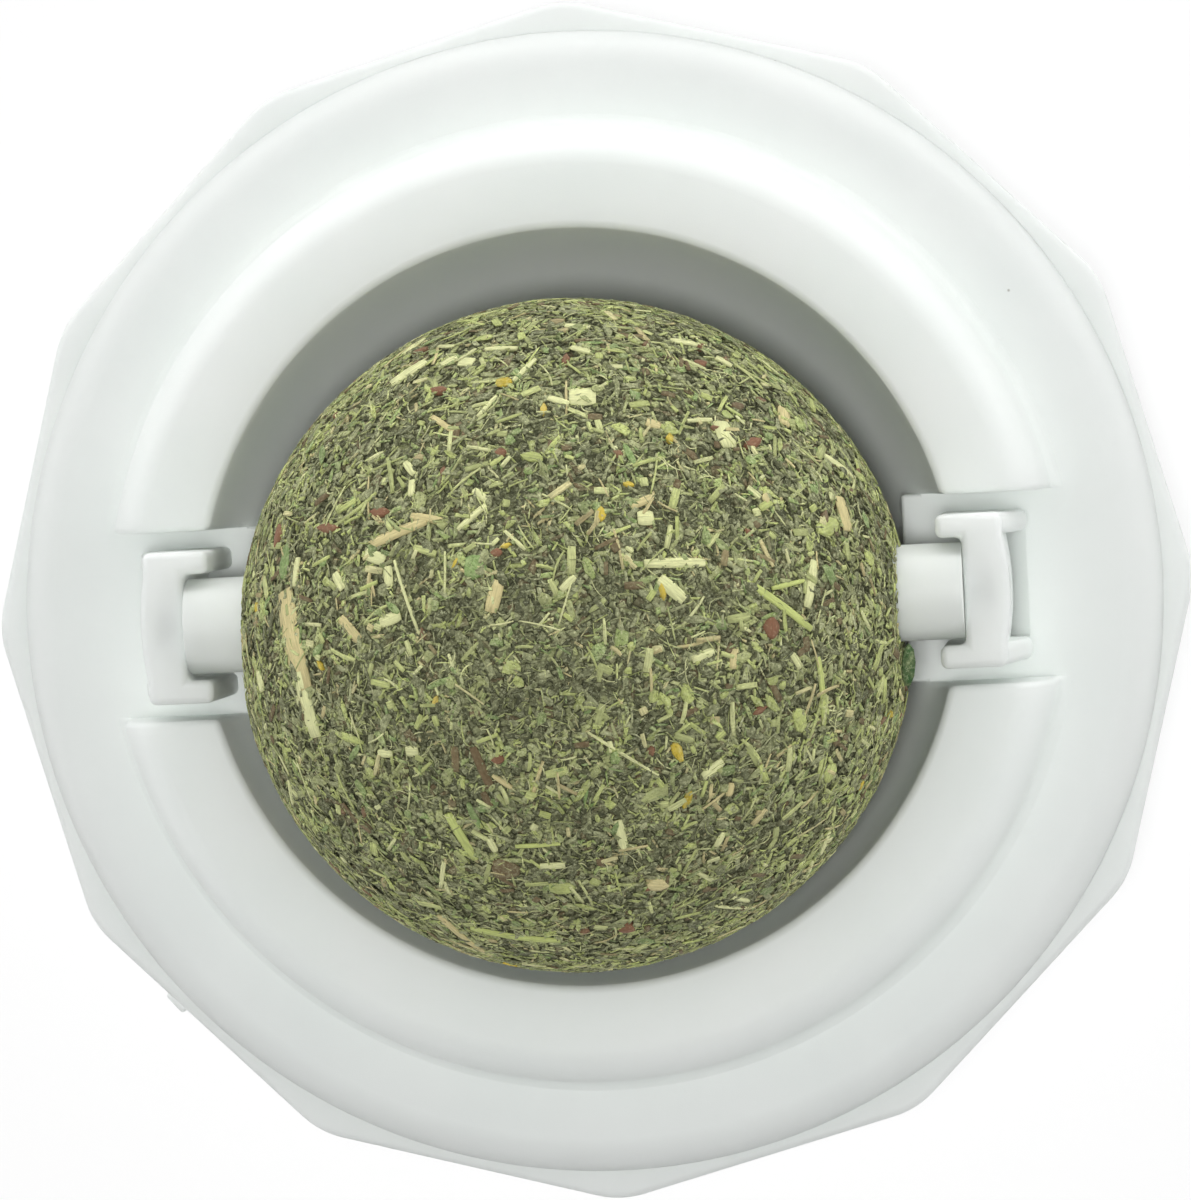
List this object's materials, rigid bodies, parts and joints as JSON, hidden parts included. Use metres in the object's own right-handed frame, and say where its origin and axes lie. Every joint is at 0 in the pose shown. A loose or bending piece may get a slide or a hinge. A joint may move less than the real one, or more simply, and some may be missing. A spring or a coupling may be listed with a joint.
{
  "type": "catnip ball wall toy",
  "caption": "Pressed catnip ball that spins on a plastic axle, snapped into clips in a round dish on a faceted stick-on base.",
  "frame": {"origin": "centre of the adhesive face, on the wall", "axes": "+X along the axle, +Y up the wall, +Z out of the wall"},
  "size_m": [0.0674, 0.0674, 0.0437],
  "materials": {
    "white_plastic": "smooth satin moulding",
    "axle_plastic": "smooth satin moulding",
    "pressed_herb": "dry chopped leaf and stem, pressed hard",
    "foam_tape": "closed-cell foam with adhesive faces"
  },
  "bodies": {
    "holder": {"front_dish": "white_plastic", "faceted_base": "white_plastic", "adhesive_pad": "foam_tape"},
    "ball": {"ball_axle": "axle_plastic", "catnip_ball": "pressed_herb"}
  },
  "joints": [
    {"name": "ball_spin", "type": "hinge", "parent": "holder", "child": "ball", "pos_m": [0, 0, 0.0252], "axis": [1, 0, 0], "continuous": true}
  ]
}
